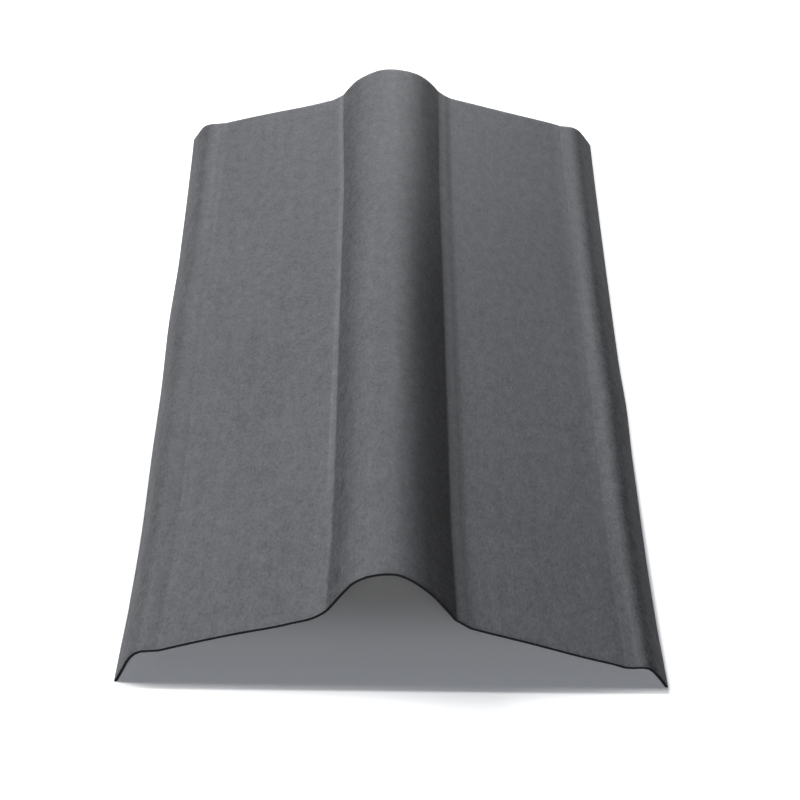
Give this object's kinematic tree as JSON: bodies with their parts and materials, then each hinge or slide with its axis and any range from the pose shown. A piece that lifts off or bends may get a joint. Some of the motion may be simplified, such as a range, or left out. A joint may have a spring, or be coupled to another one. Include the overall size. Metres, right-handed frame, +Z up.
{
  "type": "roof ridge cap",
  "caption": "Long pressed-fibre ridge cap: a round roll between flat sloping wings that end in turned-down lips, to cover the ridge of a roof.",
  "frame": {"origin": "on the floor, under the middle of the cap, at the centre of its footprint", "axes": "+X across the cap, +Y along the ridge, +Z up; it lies on its two feet"},
  "size_m": [0.485, 1, 0.1119],
  "materials": {
    "pressed_fibre": "matt dark grey bitumen-soaked pressed fibre, with a fine felt mottle"
  },
  "bodies": {
    "root": {"ridge_cap": "pressed_fibre"}
  },
  "joints": []
}
